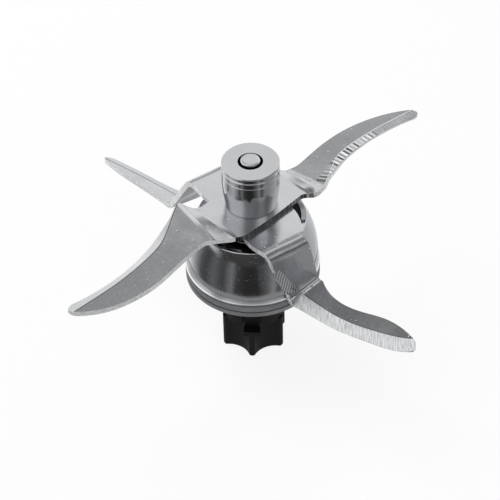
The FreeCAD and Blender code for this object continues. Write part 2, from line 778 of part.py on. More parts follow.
def make_nodes():
    upper_arm = make_upper_arm()
    nodes = {
        "drive_shaft": make_shaft(),
        "top_cap": make_top_cap(),
        "upper_blade_pair": blade_pair(upper_arm, 45, upper_arm, 225),
        "lower_blade_pair": blade_pair(make_steep_arm(), -45, make_far_arm(), 135),
        "blade_collar": make_blade_collar(),
        "inner_spacer": tube(shaft_r + loose_fit, shaft_r + spacer_wall, spacer_z, upper_bearing_z),
        "drive_coupling": make_coupling(),
        "coupling_washer": make_washer(),
        "coupling_screw": make_screw(),
        "bearing_housing": make_housing(),
        "flange_seal_ring": make_flange_seal(),
        "shaft_lip_seal": make_shaft_seal(),
        "seal_spring": make_seal_spring(),
        "outer_spacer": tube(bearing_r - spacer_wall, bearing_r, spacer_z, upper_bearing_z),
        "bearing_circlip": make_circlip(),
    }
    nodes.update(bearing_nodes("upper_bearing", upper_bearing_z))
    nodes.update(bearing_nodes("lower_bearing", lower_bearing_z))
    return nodes


os.makedirs("parts", exist_ok=True)
for name, shape in make_nodes().items():
    shape.exportStep("parts/" + name + ".step")
    print(name, shape.ShapeType, len(shape.Solids), "valid" if shape.isValid() else "INVALID",
          round(shape.Volume, 1))
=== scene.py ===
import math

import bmesh
import bpy
from mathutils import Matrix, Vector
from mathutils.bvhtree import BVHTree


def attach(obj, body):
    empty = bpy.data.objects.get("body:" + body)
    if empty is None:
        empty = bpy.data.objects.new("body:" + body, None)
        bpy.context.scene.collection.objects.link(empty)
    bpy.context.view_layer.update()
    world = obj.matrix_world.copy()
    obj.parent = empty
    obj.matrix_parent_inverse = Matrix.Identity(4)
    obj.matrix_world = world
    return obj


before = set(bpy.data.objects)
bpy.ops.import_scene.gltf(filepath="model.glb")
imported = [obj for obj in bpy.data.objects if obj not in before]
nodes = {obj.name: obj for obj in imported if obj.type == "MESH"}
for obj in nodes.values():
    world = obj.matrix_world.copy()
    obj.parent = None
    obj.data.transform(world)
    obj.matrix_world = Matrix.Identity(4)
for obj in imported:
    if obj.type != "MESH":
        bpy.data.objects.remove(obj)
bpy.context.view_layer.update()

# Lengths are in metres, and the camera's lens and sensor in millimetres

# Camera, from outlines in the photo

CAMERA_DISTANCE = 0.57871
CAMERA_DOWN = math.radians(43.775)
CAMERA_ROLL = math.radians(-1.456)
CAMERA_TARGET = Vector((-0.000696, 0.0, 0.033878))
CAMERA_LENS = 146.11
CAMERA_SENSOR = 36.0
CAMERA_RANGE = (0.01, 20.0)

# Arm directions about the shaft

RIGHT_ARM = 45.0
LEFT_ARM = 225.0
FRONT_ARM = -45.0
FAR_ARM = 135.0

# Limits that tell a blade's faces apart: parts of the unit normal, and distances along the arm

FACES_UP = 0.3
STANDS_UPRIGHT = 0.45
FACES_ALONG = 0.8
FACET_LEAN = (-0.86, -0.42)
FACET_START = -0.015
HUB_EDGE_END = 0.0135
TIP_START = 0.05

# Noise patterns: scale, detail and roughness

GRAIN = (1100.0, 4.0, 0.65)
MOTTLE = (55.0, 4.0, 0.55)
PITS = (380.0, 2.0, 0.5)
SPECKS = (1500.0, 1.0, 0.5)
DUST = (3300.0, 1.0, 0.5)
CLUSTERS = (150.0, 2.0, 0.5)
WAVES = (110.0, 1.0, 0.4)
STREAKS = (1.0, 3.0, 0.6)
TURNED_WEAR = (90.0, 5.0, 0.6)
PLAIN_WEAR = (240.0, 5.0, 0.6)
MOULDED_BROAD = (120.0, 3.0, 0.6)
MARK_GRIT = (2400.0, 3.0, 0.6)

# Satin sheet of the blades, with grain, mottle, shallow pits, pale specks and slight waves

SATIN_SHADES = [(0.34, (0.56, 0.57, 0.59)), (0.66, (0.68, 0.69, 0.71))]
SATIN_ROUGHNESS = (0.17, 0.26)
GRAIN_STRETCH = (1, 1, 0.3)
GRAIN_SHARE = 0.4
GRAIN_RELIEF = 0.3
PIT_LEVELS = (0.68, 0.74)
PIT_STRENGTH = 0.35
PIT_SHADE = (0.75, 0.76, 0.78)
SPECK_LEVELS = (0.737, 0.765)
SPECK_SHADE = (0.90, 0.90, 0.91)
BLADE_WAVES = 0.0004
BLADE_RELIEF = (0.4, 0.00003)
MATT_METALLIC = 0.25

# Ground bevels, which begin at a distance along the arm and differ from the flat by their lean

# One side of a pair has a plain bevel, and the other has fine lines that run in one direction
# The two arms of a pair get different bevel shades, a painted light and shade on the same ground steel
UPPER_BEVEL = {"start": 0.0145, "lean": -0.05, "shade": (0.60, 0.61, 0.625), "line_degrees": RIGHT_ARM + 90.0,
               "plain_side": -1.0, "plain_arm_painted_shade": (0.90, 0.91, 0.92)}
LOWER_BEVEL = {"start": 0.0205, "lean": -0.42, "shade": (0.86, 0.87, 0.88), "line_degrees": 90.0,
               "plain_side": 1.0, "plain_arm_painted_shade": (0.62, 0.63, 0.645)}
STREAKS_ACROSS = 3600.0
STREAKS_ALONG = 420.0
BEVEL_LEVELS = (0.36, 0.60)
BEVEL_DARK = 0.62
BEVEL_EXTRA_ROUGHNESS = 0.16

# Hatch lines on the front riser's facet

HATCH_PITCH = 0.0006
HATCH_SHADES = [(0.35, (0.41, 0.42, 0.43)), (0.8, (0.84, 0.85, 0.86))]

# Sheared edges: streaks that run from one shade to another with the grinding lines, and painted light and
# shade

# Hub edges that face left are painted light and those that face right painted shade; outer edges are pale, a
# matt cut face with a painted highlight
HUB_EDGE_PAINTED_LIGHT = [(0.3, 0.42), (0.6, 0.66)]
HUB_EDGE_PAINTED_SHADE = [(0.35, 0.04), (0.65, 0.30)]
OUTER_EDGE_PAINTED_HIGHLIGHT = [(0.3, 0.70), (0.6, 0.92)]

# Turned, plain and moulded surfaces

# Their tone turns from dark to light between two levels, and multiplies shade and roughness by two factors
TURNED = {"levels": (0.35, 0.65), "shade": (0.94, 1.04), "roughness": (0.8, 1.25)}
PLAIN = {"levels": (0.3, 0.7), "shade": (0.92, 1.06), "roughness": (0.8, 1.2)}
MOULDED = {"levels": (0.35, 0.68), "shade": (0.75, 1.3), "roughness": (0.85, 1.15)}
ROUGHNESS_LEVELS = (0.3, 0.7)
RING_DETAIL = (3.0, 0.6)
RING_SHARE = 0.5
TURNED_RELIEF = 0.00004
PLAIN_RELIEF = (0.2, 0.00002)
MOULDED_GRAIN_DETAIL = (6.0, 0.7)
MOULDED_GRAIN_SHARE = 0.6
MOULDED_SPECULAR = 0.3
MOULDED_RELIEF = 0.00006

# Bell and knob

KNOB_HOLE = 0.00352
HOLE_SHADE = (0.02, 0.02, 0.02)
BELL_WAVES = 0.0003
LIP_TOP = 0.0318
LIP_ROUGHNESS = 0.34
# Painted highlight: pale upward faces of the flange's turned ledge, between two heights
LEDGE_HEIGHTS = (0.0300, 0.0314)
LEDGE_HIGHLIGHT_SHADE = (0.97, 0.975, 0.98)
DUST_LEVELS = (0.66, 0.74)
DUST_SHADE = (0.62, 0.63, 0.64)
CLUSTER_LEVELS = (0.42, 0.62)
CLUSTER_LEAST = 0.15

# Grinding marks: a ridged strip on the right arm's bevel, between two lines given as along and across

MARK_PITCH = 0.00165
MARK_HEIGHT = 0.00013
MARK_SINK = 0.0002
MARK_LIFT = 0.00001
MARK_SLANT = 0.30
MARK_START = 0.0172
MARK_END = 0.0462
MARK_INNER = [(0.0165, -0.0086), (0.0205, -0.0076), (0.027, -0.0057), (0.032, -0.0048),
              (0.037, -0.0043), (0.050, -0.0042)]
MARK_OUTER = [(0.0165, -0.0122), (0.020, -0.0110), (0.0245, -0.0094), (0.0295, -0.0079),
              (0.035, -0.0068), (0.042, -0.0062), (0.050, -0.0065)]
MARK_COLUMNS = 5
MARK_SPAN_START = 0.05
MARK_SPAN = 0.83
MARK_SHIFT = 0.22
MARK_LOWEST = 0.35
MARK_FADE = 4.0
# Painted light and shade on the ridges: one flank painted paler than the other, turned into shades from dark
# to pale
MARK_FLANK_PAINTED_SHADE = 0.5
MARK_END_SHADE = 0.5
MARK_GRIT_SHARE = 0.25
MARK_SHADES = [(0.15, (0.10, 0.105, 0.11)), (0.7, (0.95, 0.96, 0.97))]
MARK_ROUGHNESS = 0.3
ABOVE_ALL = 0.08
SCATTER = (12.9898, 78.233, 43758.5453)

# Break lines: thin lines where a bevel meets the flat of its blade, a painted highlight on the right arm and
# painted shade on the others

LINE_WIDTH = 0.00022
LINE_HEIGHT = 0.000015
LINE_SINK = 0.00008
LINE_START = 0.0165
BREAK_ANGLE = math.radians(7)
BREAK_UPWARD = 0.4
BREAK_ALONG = 0.6
SAME_PLACE = 1e-6
BOX_FACES = [(0, 1, 2, 3), (7, 6, 5, 4), (0, 4, 5, 1), (1, 5, 6, 2), (2, 6, 7, 3), (3, 7, 4, 0)]

# Floor, and the card on it that only polished steel sees

FLOOR_SIZE = 3.0
FLOOR_HEIGHT = -0.0002
FLOOR_SHADE = (0.9, 0.9, 0.9)
FLOOR_ROUGHNESS = 0.9
FLOOR_GLOW = 0.88
CARD_HEIGHT = 0.0004
# Shades at angles from the front, turning right, and a plain shade close to the object
CARD_SHADES = [(-180, 0.95), (-140, 1.0), (-124, 0.95), (-113, 0.68), (-104, 0.48), (-95, 0.28),
               (-86, 0.11), (-76, 0.07), (-62, 0.15), (-46, 0.07), (-34, 0.22), (-26, 0.06),
               (-12, 0.03), (6, 0.03), (22, 0.14), (30, 0.30), (38, 0.10), (50, 0.28), (72, 0.34),
               (100, 0.50), (180, 0.95)]
NEAR_SHADE = (0.32, 0.32, 0.32)
NEAR_RADIUS = (0.0445, 0.0485)

# Soft dark flags that polished steel sees in the white studio

# Direction, half width and shade of each, and the parts of the half width between which it fades in
FLAGS = [
    ((-0.12, 0.94, 0.33), 14.0, 0.46),
    ((0.14, 0.385, 0.91), 16.0, 0.38),
    ((-0.37, 0.48, 0.80), 16.0, 0.20),
    ((0.41, -0.30, 0.86), 19.0, 0.38),
    ((-0.05, -0.72, 0.69), 24.0, 0.33),
    ((0.78, -0.08, 0.60), 21.0, 0.36),
    ((0.96, -0.24, 0.10), 22.0, 0.35),
]
FLAG_FADE = (1.25, 0.75)

# The dark studio in front of the object, below the height where polished steel sees it end

FRONT_SHADE = 0.06
FRONT_TOP = (0.28, 0.50)
FRONT_SIDES = (math.cos(math.radians(85)), math.cos(math.radians(50)))

# Light: the soft world, and each lamp's name, place, width and power

WORLD_SHADE = (0.95, 0.97, 1.0)
WORLD_STRENGTH = 0.45
LAMP_TARGET = Vector((0, 0, 0.03))
LAMPS = [
    ("key", (-0.35, 0.25, 0.75), 0.5, 4.5),
    ("fill", (0.40, -0.58, 0.50), 0.34, 0.9),
]

# White, and directions in the part's frame

WHITE = (1, 1, 1)
TO_RIGHT = (1, 0, 0)
TO_FRONT = (0, -1, 0)
STRAIGHT_UP = (0, 0, 1)


# Node building

def empty_material(name):
    material = bpy.data.materials.new(name)
    material.use_nodes = True
    material.node_tree.nodes.clear()
    return material, material.node_tree


def show(tree, surface, output_kind="ShaderNodeOutputMaterial"):
    """Output node that shows a surface."""
    output = tree.nodes.new(output_kind)
    tree.links.new(surface, output.inputs["Surface"])


def new_material(name):
    material, tree = empty_material(name)
    shader = tree.nodes.new("ShaderNodeBsdfPrincipled")
    show(tree, shader.outputs["BSDF"])
    return material, tree, shader


def principled(material):
    return next(node for node in material.node_tree.nodes if node.type == "BSDF_PRINCIPLED")


def feed(tree, socket, value):
    """Links a socket to another one, or sets it to a number, a vector or a shade."""
    if isinstance(value, bpy.types.NodeSocket):
        tree.links.new(value, socket)
    elif socket.type == "RGBA":
        socket.default_value = (*value, 1)
    else:
        socket.default_value = value


def math_node(tree, operation, *values):
    node = tree.nodes.new("ShaderNodeMath")
    node.operation = operation
    for socket, value in zip(node.inputs, values):
        feed(tree, socket, value)
    return node.outputs[0]


def product(tree, first, *others):
    for other in others:
        first = math_node(tree, "MULTIPLY", first, other)
    return first


def weighted(tree, a, share, b):
    """Sum of two values, the first with the given share and the second with the rest."""
    return math_node(tree, "ADD", product(tree, a, share), product(tree, b, 1.0 - share))


def vector_math(tree, operation, a, b):
    node = tree.nodes.new("ShaderNodeVectorMath")
    node.operation = operation
    feed(tree, node.inputs[0], a)
    feed(tree, node.inputs[1], b)
    return node


def dot(tree, a, b):
    return vector_math(tree, "DOT_PRODUCT", a, b).outputs["Value"]


def scaled_by(tree, vector, factors):
    return vector_math(tree, "MULTIPLY", vector, factors).outputs["Vector"]


def combined(tree, x, y, z):
    node = tree.nodes.new("ShaderNodeCombineXYZ")
    for socket, value in zip(node.inputs, (x, y, z)):
        feed(tree, socket, value)
    return node.outputs[0]


def position(tree):
    return tree.nodes.new("ShaderNodeTexCoord").outputs["Object"]


def normal(tree):
    return tree.nodes.new("ShaderNodeTexCoord").outputs["Normal"]


def height_of(tree):
    return dot(tree, position(tree), STRAIGHT_UP)


def axis_distance(tree):
    """Distance from the shaft's axis."""
    flat = scaled_by(tree, position(tree), (1, 1, 0))
    return math_node(tree, "SQRT", dot(tree, flat, flat))


def noise(tree, vector, scale, detail, roughness):
    node = tree.nodes.new("ShaderNodeTexNoise")
    tree.links.new(vector, node.inputs["Vector"])
    node.inputs["Scale"].default_value = scale
    node.inputs["Detail"].default_value = detail
    node.inputs["Roughness"].default_value = roughness
    return node.outputs["Fac"]


def ramp(tree, value, stops):
    """Shade or grey level that runs from stop to stop with a value."""
    node = tree.nodes.new("ShaderNodeValToRGB")
    tree.links.new(value, node.inputs["Fac"])
    elements = node.color_ramp.elements
    while len(elements) < len(stops):
        elements.new(0.5)
    for element, (place, shade) in zip(elements, stops):
        element.position = place
        element.color = (shade, shade, shade, 1) if isinstance(shade, (int, float)) else (*shade, 1)
    return node.outputs["Color"]


def varied_shade(tree, value, levels, shade, factors):
    """Shade times the first factor at a value's lower level, and times the second at its upper level."""
    stops = []
    for level, factor in zip(levels, factors):
        stops.append((level, tuple(min(1.0, factor * part) for part in shade)))
    return ramp(tree, value, stops)


def map_range(tree, value, given, wanted=(0.0, 1.0)):
    """Value stretched from one range to another, and held at its ends."""
    node = tree.nodes.new("ShaderNodeMapRange")
    node.clamp = True
    tree.links.new(value, node.inputs["Value"])
    for name, number in zip(("From Min", "From Max", "To Min", "To Max"), (*given, *wanted)):
        node.inputs[name].default_value = number
    return node.outputs["Result"]


def mix_values(tree, factor, a, b):
    node = tree.nodes.new("ShaderNodeMix")
    for socket, value in ((node.inputs[0], factor), (node.inputs[2], a), (node.inputs[3], b)):
        feed(tree, socket, value)
    return node.outputs[0]


def mix_shades(tree, factor, a, b):
    node = tree.nodes.new("ShaderNodeMix")
    node.data_type = "RGBA"
    for socket, value in ((node.inputs[0], factor), (node.inputs[6], a), (node.inputs[7], b)):
        feed(tree, socket, value)
    return node.outputs[2]


def mix_shaders(tree, factor, a, b):
    node = tree.nodes.new("ShaderNodeMixShader")
    for socket, value in zip(node.inputs, (factor, a, b)):
        tree.links.new(value, socket)
    return node.outputs[0]


def light_shader(tree, kind, shade, strength):
    node = tree.nodes.new(kind)
    feed(tree, node.inputs["Color"], shade)
    node.inputs["Strength"].default_value = strength
    return node.outputs[0]


def bump(tree, height, strength, distance, under=None):
    """Normal of a relief, on top of a broader relief if one is given."""
    node = tree.nodes.new("ShaderNodeBump")
    if under is not None:
        tree.links.new(under, node.inputs["Normal"])
    node.inputs["Strength"].default_value = strength
    node.inputs["Distance"].default_value = distance
    tree.links.new(height, node.inputs["Height"])
    return node.outputs["Normal"]


def waves(tree, place, depth):
    """Normal of a gently uneven sheet, as stamping and hand polishing leave it."""
    return bump(tree, noise(tree, place, *WAVES), 1.0, depth)


def ray_is(tree, *kinds):
    """1 for rays of any of the named kinds."""
    path = tree.nodes.new("ShaderNodeLightPath")
    found = path.outputs[kinds[0]]
    for kind in kinds[1:]:
        found = math_node(tree, "MAXIMUM", found, path.outputs[kind])
    return found


# Turned, plain and moulded materials

def tint(tree, shader, tone, shade, roughness, kind):
    """Gives a shader its shade and roughness, both varied by a tone."""
    varied_roughness = [factor * roughness for factor in kind["roughness"]]
    feed(tree, shader.inputs["Base Color"], varied_shade(tree, tone, kind["levels"], shade, kind["shade"]))
    feed(tree, shader.inputs["Roughness"], map_range(tree, tone, ROUGHNESS_LEVELS, varied_roughness))


def turned_metal(name, shade, roughness, lines, line_scale, wave_depth=None):
    """Metal turned on a lathe: fine rings about the shaft's axis."""
    material, tree, shader = new_material(name)
    place = position(tree)
    rings = noise(tree, combined(tree, axis_distance(tree), 0.0, height_of(tree)), line_scale, *RING_DETAIL)
    tone = weighted(tree, rings, RING_SHARE, noise(tree, place, *TURNED_WEAR))
    tint(tree, shader, tone, shade, roughness, TURNED)
    feed(tree, shader.inputs["Metallic"], 1.0)
    uneven = waves(tree, place, wave_depth) if wave_depth else None
    feed(tree, shader.inputs["Normal"], bump(tree, rings, lines, TURNED_RELIEF, uneven))
    return material


def plain_metal(name, shade, roughness):
    """Metal with a fine even wear."""
    material, tree, shader = new_material(name)
    wear = noise(tree, position(tree), *PLAIN_WEAR)
    tint(tree, shader, wear, shade, roughness, PLAIN)
    feed(tree, shader.inputs["Metallic"], 1.0)
    feed(tree, shader.inputs["Normal"], bump(tree, wear, *PLAIN_RELIEF))
    return material


def moulded(name, shade, roughness, grain, grain_scale):
    """Plastic or rubber with moulded grain."""
    material, tree, shader = new_material(name)
    place = position(tree)
    grains = noise(tree, place, grain_scale, *MOULDED_GRAIN_DETAIL)
    tone = weighted(tree, grains, MOULDED_GRAIN_SHARE, noise(tree, place, *MOULDED_BROAD))
    tint(tree, shader, tone, shade, roughness, MOULDED)
    feed(tree, shader.inputs["Specular IOR Level"], MOULDED_SPECULAR)
    feed(tree, shader.inputs["Normal"], bump(tree, grains, grain, MOULDED_RELIEF))
    return material


# Masks that find a blade's faces

def directions(degrees):
    """Unit vectors out along an arm and across it, to the left of someone looking out along it."""
    turn = math.radians(degrees)
    return (math.cos(turn), math.sin(turn), 0), (-math.sin(turn), math.cos(turn), 0)


def absolute(tree, value):
    return math_node(tree, "ABSOLUTE", value)


def upright(tree):
    """1 where the surface stands upright."""
    rise = absolute(tree, dot(tree, normal(tree), STRAIGHT_UP))
    return math_node(tree, "LESS_THAN", rise, STANDS_UPRIGHT)


def upward(tree):
    """1 where the surface faces up, 0 where it faces down or sideways."""
    return math_node(tree, "GREATER_THAN", dot(tree, normal(tree), STRAIGHT_UP), FACES_UP)


def bevel_mask(tree, along, lean, bevel):
    """1 on the ground bevels of both arms of a pair, beyond their start and past their lean."""
    leaning = math_node(tree, "LESS_THAN", lean, bevel["lean"])
    beyond = math_node(tree, "GREATER_THAN", absolute(tree, along), bevel["start"])
    return product(tree, leaning, beyond, upward(tree))


def facet_mask(tree, along, lean):
    """1 on the ground facet that carries on up the steep riser of the front arm."""
    leaning = math_node(tree, "LESS_THAN", lean, FACET_LEAN[1])
    not_edge = math_node(tree, "GREATER_THAN", lean, FACET_LEAN[0])
    front = math_node(tree, "LESS_THAN", along, FACET_START)
    return product(tree, leaning, not_edge, upright(tree), front)


def cut_edge_mask(tree, along, out):
    """1 on the sheared edges of the sheet, which stand upright and face along an arm only at its tip."""
    ahead = absolute(tree, dot(tree, normal(tree), out))
    at_tip = math_node(tree, "GREATER_THAN", absolute(tree, along), TIP_START)
    sideways = math_node(tree, "MAXIMUM", math_node(tree, "LESS_THAN", ahead, FACES_ALONG), at_tip)
    return product(tree, upright(tree), sideways)


# Blade steel

def bevel_lines(tree, place, degrees):
    """Fine streaks that run in one direction."""
    line_way, over_lines = directions(degrees)
    across = product(tree, dot(tree, place, over_lines), STREAKS_ACROSS)
    along = product(tree, dot(tree, place, line_way), STREAKS_ALONG)
    return noise(tree, combined(tree, across, along, 0.0), *STREAKS)


def bevel_shade(tree, along, lines, bevel):
    """Streaked shade of the ground bevels, with a plain one on one side of the pair; the two arms' shades
    differ as painted light and shade.
    """
    streaked = varied_shade(tree, lines, BEVEL_LEVELS, bevel["shade"], (BEVEL_DARK, 1.0))
    plain_arm = math_node(tree, "GREATER_THAN", product(tree, along, bevel["plain_side"]), 0.0)
    return mix_shades(tree, plain_arm, streaked, bevel["plain_arm_painted_shade"])


def hatch_shade(tree, across):
    """Coarse grinding lines on the riser's facet, at even steps across the arm."""
    swing = math_node(tree, "SINE", product(tree, across, 2 * math.pi / HATCH_PITCH))
    return ramp(tree, map_range(tree, swing, (-1.0, 1.0)), HATCH_SHADES)


def edge_shade(tree, lines, left, outer):
    """Streaked shade of the sheared edges, with painted shade where an edge of the hub faces right, painted
    light where it faces left, and a pale painted highlight on the outer edges.
    """
    hub_edge = mix_shades(tree, left, ramp(tree, lines, HUB_EDGE_PAINTED_SHADE), ramp(tree, lines, HUB_EDGE_PAINTED_LIGHT))
    return mix_shades(tree, outer, hub_edge, ramp(tree, lines, OUTER_EDGE_PAINTED_HIGHLIGHT))


def blade_steel(name, degrees, bevel):
    """Satin stamped sheet with pits and mottle, streaked bevels, a hatched facet and sheared edges."""
    material, tree, shader = new_material(name)
    place = position(tree)
    out, side = directions(degrees)
    along = dot(tree, place, out)
    lean = product(tree, math_node(tree, "SIGN", along), dot(tree, normal(tree), side))
    ground = bevel_mask(tree, along, lean, bevel)
    facet = facet_mask(tree, along, lean)
    sheared = product(tree, cut_edge_mask(tree, along, out), math_node(tree, "SUBTRACT", 1.0, facet))
    # Painted light and shade on the sheared edges: lit where they face left, shaded where they face right
    left = math_node(tree, "LESS_THAN", dot(tree, normal(tree), TO_RIGHT), 0.0)
    outer = math_node(tree, "GREATER_THAN", absolute(tree, along), HUB_EDGE_END)

    grain = noise(tree, scaled_by(tree, place, GRAIN_STRETCH), *GRAIN)
    tone = weighted(tree, grain, GRAIN_SHARE, noise(tree, place, *MOTTLE))
    pits = map_range(tree, noise(tree, place, *PITS), PIT_LEVELS)
    specks = map_range(tree, noise(tree, place, *SPECKS), SPECK_LEVELS)
    lines = bevel_lines(tree, place, bevel["line_degrees"])

    shade = ramp(tree, tone, SATIN_SHADES)
    shade = mix_shades(tree, product(tree, pits, PIT_STRENGTH), shade, PIT_SHADE)
    shade = mix_shades(tree, ground, shade, bevel_shade(tree, along, lines, bevel))
    shade = mix_shades(tree, facet, shade, hatch_shade(tree, dot(tree, place, side)))
    shade = mix_shades(tree, sheared, shade, edge_shade(tree, lines, left, outer))
    shade = mix_shades(tree, specks, shade, SPECK_SHADE)
    pale_edge = product(tree, sheared, math_node(tree, "MAXIMUM", left, outer))
    matt = math_node(tree, "MAXIMUM", pale_edge, specks)
    rough = math_node(tree, "ADD", map_range(tree, tone, ROUGHNESS_LEVELS, SATIN_ROUGHNESS),
                      product(tree, ground, BEVEL_EXTRA_ROUGHNESS))
    satin_relief = math_node(tree, "ADD", product(tree, grain, GRAIN_RELIEF), pits)
    relief = mix_values(tree, ground, satin_relief, lines)
    uneven = waves(tree, place, BLADE_WAVES)

    feed(tree, shader.inputs["Base Color"], shade)
    feed(tree, shader.inputs["Metallic"], map_range(tree, matt, (0.0, 1.0), (1.0, MATT_METALLIC)))
    feed(tree, shader.inputs["Roughness"], rough)
    feed(tree, shader.inputs["Normal"], bump(tree, relief, *BLADE_RELIEF, uneven))
    return material


# Changes to a material on part of its surface

def paint_over(material, mask, shade):
    """Lays a shade over a material where the mask is 1."""
    tree = material.node_tree
    base = principled(material).inputs["Base Color"]
    tree.links.new(mix_shades(tree, mask, base.links[0].from_socket, shade), base)


def soften_lip(material):
    """Satin finish on the turned lip and flange under the polished bell."""
    tree = material.node_tree
    roughness = principled(material).inputs["Roughness"]
    low = math_node(tree, "LESS_THAN", height_of(tree), LIP_TOP)
    least = product(tree, low, LIP_ROUGHNESS)
    tree.links.new(math_node(tree, "MAXIMUM", roughness.links[0].from_socket, least), roughness)


def paint_ledge_highlight(material):
    """Painted highlight: pale upward faces on the turned ledge of the flange."""
    tree = material.node_tree
    above = math_node(tree, "GREATER_THAN", height_of(tree), LEDGE_HEIGHTS[0])
    below = math_node(tree, "LESS_THAN", height_of(tree), LEDGE_HEIGHTS[1])
    paint_over(material, product(tree, above, below, upward(tree)), LEDGE_HIGHLIGHT_SHADE)


def scatter_dust(material):
    """Tiny pale specks of dust and wear on polished steel, in loose clusters."""
    tree = material.node_tree
    place = position(tree)
    dots = map_range(tree, noise(tree, place, *DUST), DUST_LEVELS)
    clusters = map_range(tree, noise(tree, place, *CLUSTERS), CLUSTER_LEVELS, (CLUSTER_LEAST, 1.0))
    specks = product(tree, dots, clusters)
    paint_over(material, specks, DUST_SHADE)
    metallic = map_range(tree, specks, (0.0, 1.0), (1.0, MATT_METALLIC))
    tree.links.new(metallic, principled(material).inputs["Metallic"])


def darken_hole(material):
    """Blackens the faces close to the shaft, where no light reaches the knob's hole."""
    tree = material.node_tree
    paint_over(material, math_node(tree, "LESS_THAN", axis_distance(tree), KNOB_HOLE), HOLE_SHADE)


# Materials of the nodes

MATERIALS = {
    "knob": turned_metal("knob steel", (0.54, 0.55, 0.565), roughness=0.09, lines=0.3, line_scale=4200.0),
    "bell": turned_metal("bell steel", (0.62, 0.63, 0.65), roughness=0.10, lines=0.25, line_scale=3000.0,
                         wave_depth=BELL_WAVES),
    "shaft": turned_metal("shaft steel", (0.64, 0.65, 0.66), roughness=0.26, lines=0.5, line_scale=3600.0),
    "bearing": plain_metal("bearing steel", (0.62, 0.63, 0.65), roughness=0.14),
    "zinc": plain_metal("zinc plate", (0.66, 0.67, 0.68), roughness=0.28),
    "spring": plain_metal("spring steel", (0.16, 0.16, 0.17), roughness=0.38),
    "plastic": moulded("black moulding", (0.006, 0.006, 0.0065), roughness=0.45, grain=0.35,
                       grain_scale=1500.0),
    "cage": moulded("cage nylon", (0.55, 0.48, 0.36), roughness=0.5, grain=0.2, grain_scale=900.0),
    "grey_seal": moulded("grey seal", (0.20, 0.205, 0.21), roughness=0.5, grain=0.15, grain_scale=1200.0),
    "black_seal": moulded("black seal", (0.012, 0.012, 0.012), roughness=0.38, grain=0.15,
                          grain_scale=1200.0),
    "upper_blade": blade_steel("upper blade steel", RIGHT_ARM, UPPER_BEVEL),
    "lower_blade": blade_steel("lower blade steel", FAR_ARM, LOWER_BEVEL),
}
darken_hole(MATERIALS["knob"])
soften_lip(MATERIALS["bell"])
paint_ledge_highlight(MATERIALS["bell"])
scatter_dust(MATERIALS["bell"])

BEARINGS = ("upper_bearing", "lower_bearing")
STEEL_PARTS = ("balls", "inner_ring", "outer_ring", "top_shield", "bottom_shield")

LOOKS = {
    "knob": ["top_cap"],
    "bell": ["bearing_housing"],
    "shaft": ["drive_shaft", "blade_collar"],
    "bearing": [f"{bearing}_{part}" for bearing in BEARINGS for part in STEEL_PARTS],
    "zinc": ["coupling_washer", "coupling_screw", "seal_spring", "inner_spacer", "outer_spacer"],
    "spring": ["bearing_circlip"],
    "plastic": ["drive_coupling"],
    "cage": [f"{bearing}_cage" for bearing in BEARINGS],
    "grey_seal": ["flange_seal_ring"],
    "black_seal": ["shaft_lip_seal"],
    "upper_blade": ["upper_blade_pair"],
    "lower_blade": ["lower_blade_pair"],
}

for look, names in LOOKS.items():
    for name in names:
        node = nodes[name]
        node.data.materials.clear()
        node.data.materials.append(MATERIALS[look])


# Pieces that the scene adds

def new_mesh(name, corners, faces, material):
    mesh = bpy.data.meshes.new(name)
    mesh.from_pydata(corners, [], faces)
    mesh.materials.append(material)
    return mesh


def new_object(name, data):
    piece = bpy.data.objects.new(name, data)
    bpy.context.collection.objects.link(piece)
    return piece


# Grinding marks

def between(points, u):
    """Straight-line value at u of a run of (u, v) points."""
    for (u0, v0), (u1, v1) in zip(points, points[1:]):
        if u <= u1:
            return v0 + (v1 - v0) * (u - u0) / (u1 - u0)
    return points[-1][1]


def scatter(index, seed):
    """A repeatable number from 0 to 1 for each index."""
    value = math.sin(index * SCATTER[0] + seed * SCATTER[1]) * SCATTER[2]
    return value - math.floor(value)


def blade_surface(node):
    """Function that gives the height of a CAD node's upper surface at a place."""
    tree = BVHTree.FromObject(node, bpy.context.evaluated_depsgraph_get())
    to_local = node.matrix_world.inverted()
    down = (to_local.to_3x3() @ Vector((0, 0, -1))).normalized()

    def height(x, y):
        start = to_local @ Vector((x, y, ABOVE_ALL))
        hit = tree.ray_cast(start, down)[0]
        return (node.matrix_world @ hit).z
    return height


def mark_material():
    material, tree, shader = new_material("ground marks")
    # The mark attribute carries each face's painted light and shade
    shade = tree.nodes.new("ShaderNodeAttribute")
    shade.attribute_name = "mark"
    grit = noise(tree, position(tree), *MARK_GRIT)
    tone = weighted(tree, shade.outputs["Fac"], 1.0 - MARK_GRIT_SHARE, grit)
    feed(tree, shader.inputs["Base Color"], ramp(tree, tone, MARK_SHADES))
    feed(tree, shader.inputs["Metallic"], 1.0)
    feed(tree, shader.inputs["Roughness"], MARK_ROUGHNESS)
    return material


def mark_tops(rows):
    """Corners of the strip's upper side, row by row, with every second row raised to a ridge."""
    height = blade_surface(nodes["upper_blade_pair"])
    turn = math.radians(RIGHT_ARM)
    tops = []
    for row in range(rows + 1):
        along = MARK_START + row * MARK_PITCH / 2 + (scatter(row, 1) - 0.5) * MARK_SHIFT * MARK_PITCH
        inner = Vector((along, between(MARK_INNER, along)))
        reach = along + MARK_SLANT * (inner.y - between(MARK_OUTER, along))
        outer = Vector((reach, between(MARK_OUTER, reach)))
        ridge = MARK_HEIGHT * (MARK_LOWEST + (1.0 - MARK_LOWEST) * scatter(row, 2)) if row % 2 else 0.0
        fade = min(1.0, MARK_FADE * (rows - row) / rows)
        for column in range(MARK_COLUMNS):
            u, v = inner.lerp(outer, MARK_SPAN_START + MARK_SPAN * column / (MARK_COLUMNS - 1))
            x = u * math.cos(turn) - v * math.sin(turn)
            y = u * math.sin(turn) + v * math.cos(turn)
            tops.append(Vector((x, y, height(x, y) + MARK_LIFT + ridge * fade)))
    return tops


